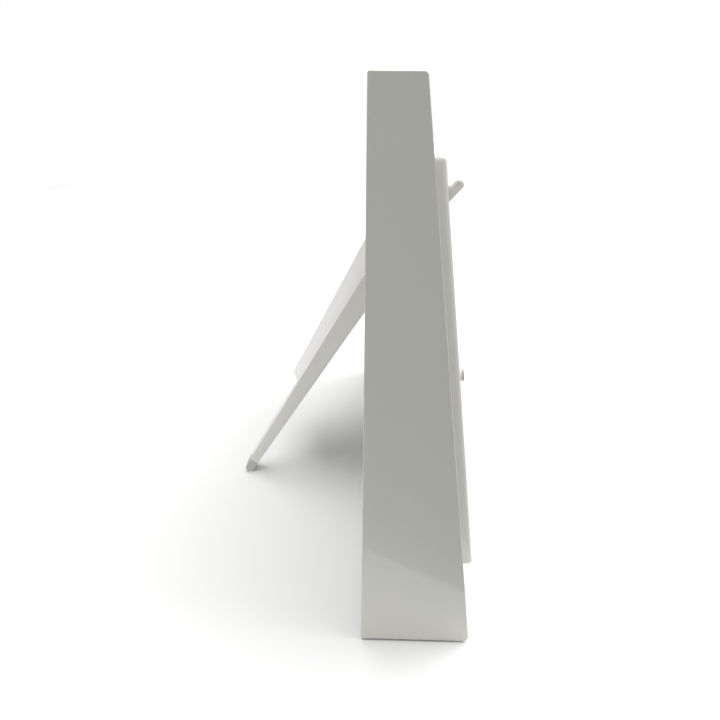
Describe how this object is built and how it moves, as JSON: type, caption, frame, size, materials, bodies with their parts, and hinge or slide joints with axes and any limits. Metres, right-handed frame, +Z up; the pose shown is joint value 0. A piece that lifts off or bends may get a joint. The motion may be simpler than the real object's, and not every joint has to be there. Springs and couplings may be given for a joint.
{
  "type": "digital photo frame",
  "caption": "Free-standing digital photo frame: wedge-section surround, raised display module with side controls, and a folding strut at the back.",
  "frame": {"origin": "centre of the base pad's underside, on the surface that the frame stands on", "axes": "+X along the width, -Y the front that is looked at, +Y the back with the strut, +Z up"},
  "size_m": [0.306, 0.1212, 0.227],
  "materials": {
    "casing": "white satin gloss moulding",
    "module": "white gloss moulding",
    "controls": "white gloss moulding",
    "strut": "white satin gloss moulding",
    "rubber": "pale grey, matte",
    "glass": "polished cover glass",
    "panel": "black display panel, switched off",
    "optic": "clear acrylic light guide",
    "film": "white diffusing film",
    "inner_frame": "black moulded inner frame",
    "sheet_metal": "zinc-plated sheet",
    "zinc": "die-cast, tumbled",
    "screws": "zinc-plated",
    "steel": "ground pin",
    "circuit": "green solder mask",
    "chip": "black moulded package",
    "socket": "black moulded socket",
    "flex": "amber film",
    "speaker": "black cone and basket",
    "nylon": "natural nylon"
  },
  "bodies": {
    "frame": {"antenna": "circuit", "base_pad": "rubber", "board_chips": "chip", "board_screws": "screws", "button_switch": "chip", "card_slot": "sheet_metal", "chassis_screws": "screws", "control_board": "circuit", "control_screws": "screws", "cover_glass": "glass", "cover_screws": "screws", "dc_jack": "socket", "diffuser_sheet": "film", "display_bezel": "module", "display_chassis": "sheet_metal", "display_flex": "flex", "friction_washers": "nylon", "hanger_plate_left": "sheet_metal", "hanger_plate_right": "sheet_metal", "hinge_bracket_left": "zinc", "hinge_bracket_right": "zinc", "hinge_pin": "steel", "hinge_screws": "screws", "io_board": "circuit", "io_ribbon": "flex", "lcd_panel": "panel", "led_bar": "circuit", "lever_bracket": "inner_frame", "lever_pin": "steel", "lever_spring": "steel", "lever_switch": "chip", "light_guide": "optic", "main_board": "circuit", "panel_frame": "inner_frame", "power_switch": "chip", "rear_cover": "casing", "ribbon_headers": "socket", "shield_can": "sheet_metal", "speaker_left": "speaker", "speaker_right": "speaker", "surround_shell": "casing", "usb_port": "sheet_metal"},
    "strut": {"strut_frame": "strut", "strut_foot": "rubber"},
    "menu_button": {"menu_button": "controls"},
    "browse_lever": {"browse_lever": "controls"},
    "power_button": {"power_button": "controls"}
  },
  "joints": [
    {"name": "strut_fold", "type": "hinge", "parent": "frame", "child": "strut", "pos_m": [0, 0.0166, 0.126], "axis": [-1, 0, 0], "range_deg": [0, 30.3]},
    {"name": "menu_press", "type": "slide", "parent": "frame", "child": "menu_button", "axis": [0, 0.9935, -0.1142], "range_m": [0, 0.0006], "stiffness_N_per_m": 1200, "springref_m": -0.0005},
    {"name": "lever_tilt", "type": "hinge", "parent": "frame", "child": "browse_lever", "pos_m": [-0.1214, -0.00358, 0.17856], "axis": [1, 0, 0], "range_deg": [-8, 8], "stiffness_Nm_per_rad": 0.06},
    {"name": "power_press", "type": "slide", "parent": "frame", "child": "power_button", "axis": [0, -1, 0], "range_m": [0, 0.0005], "stiffness_N_per_m": 1200, "springref_m": -0.0005}
  ]
}
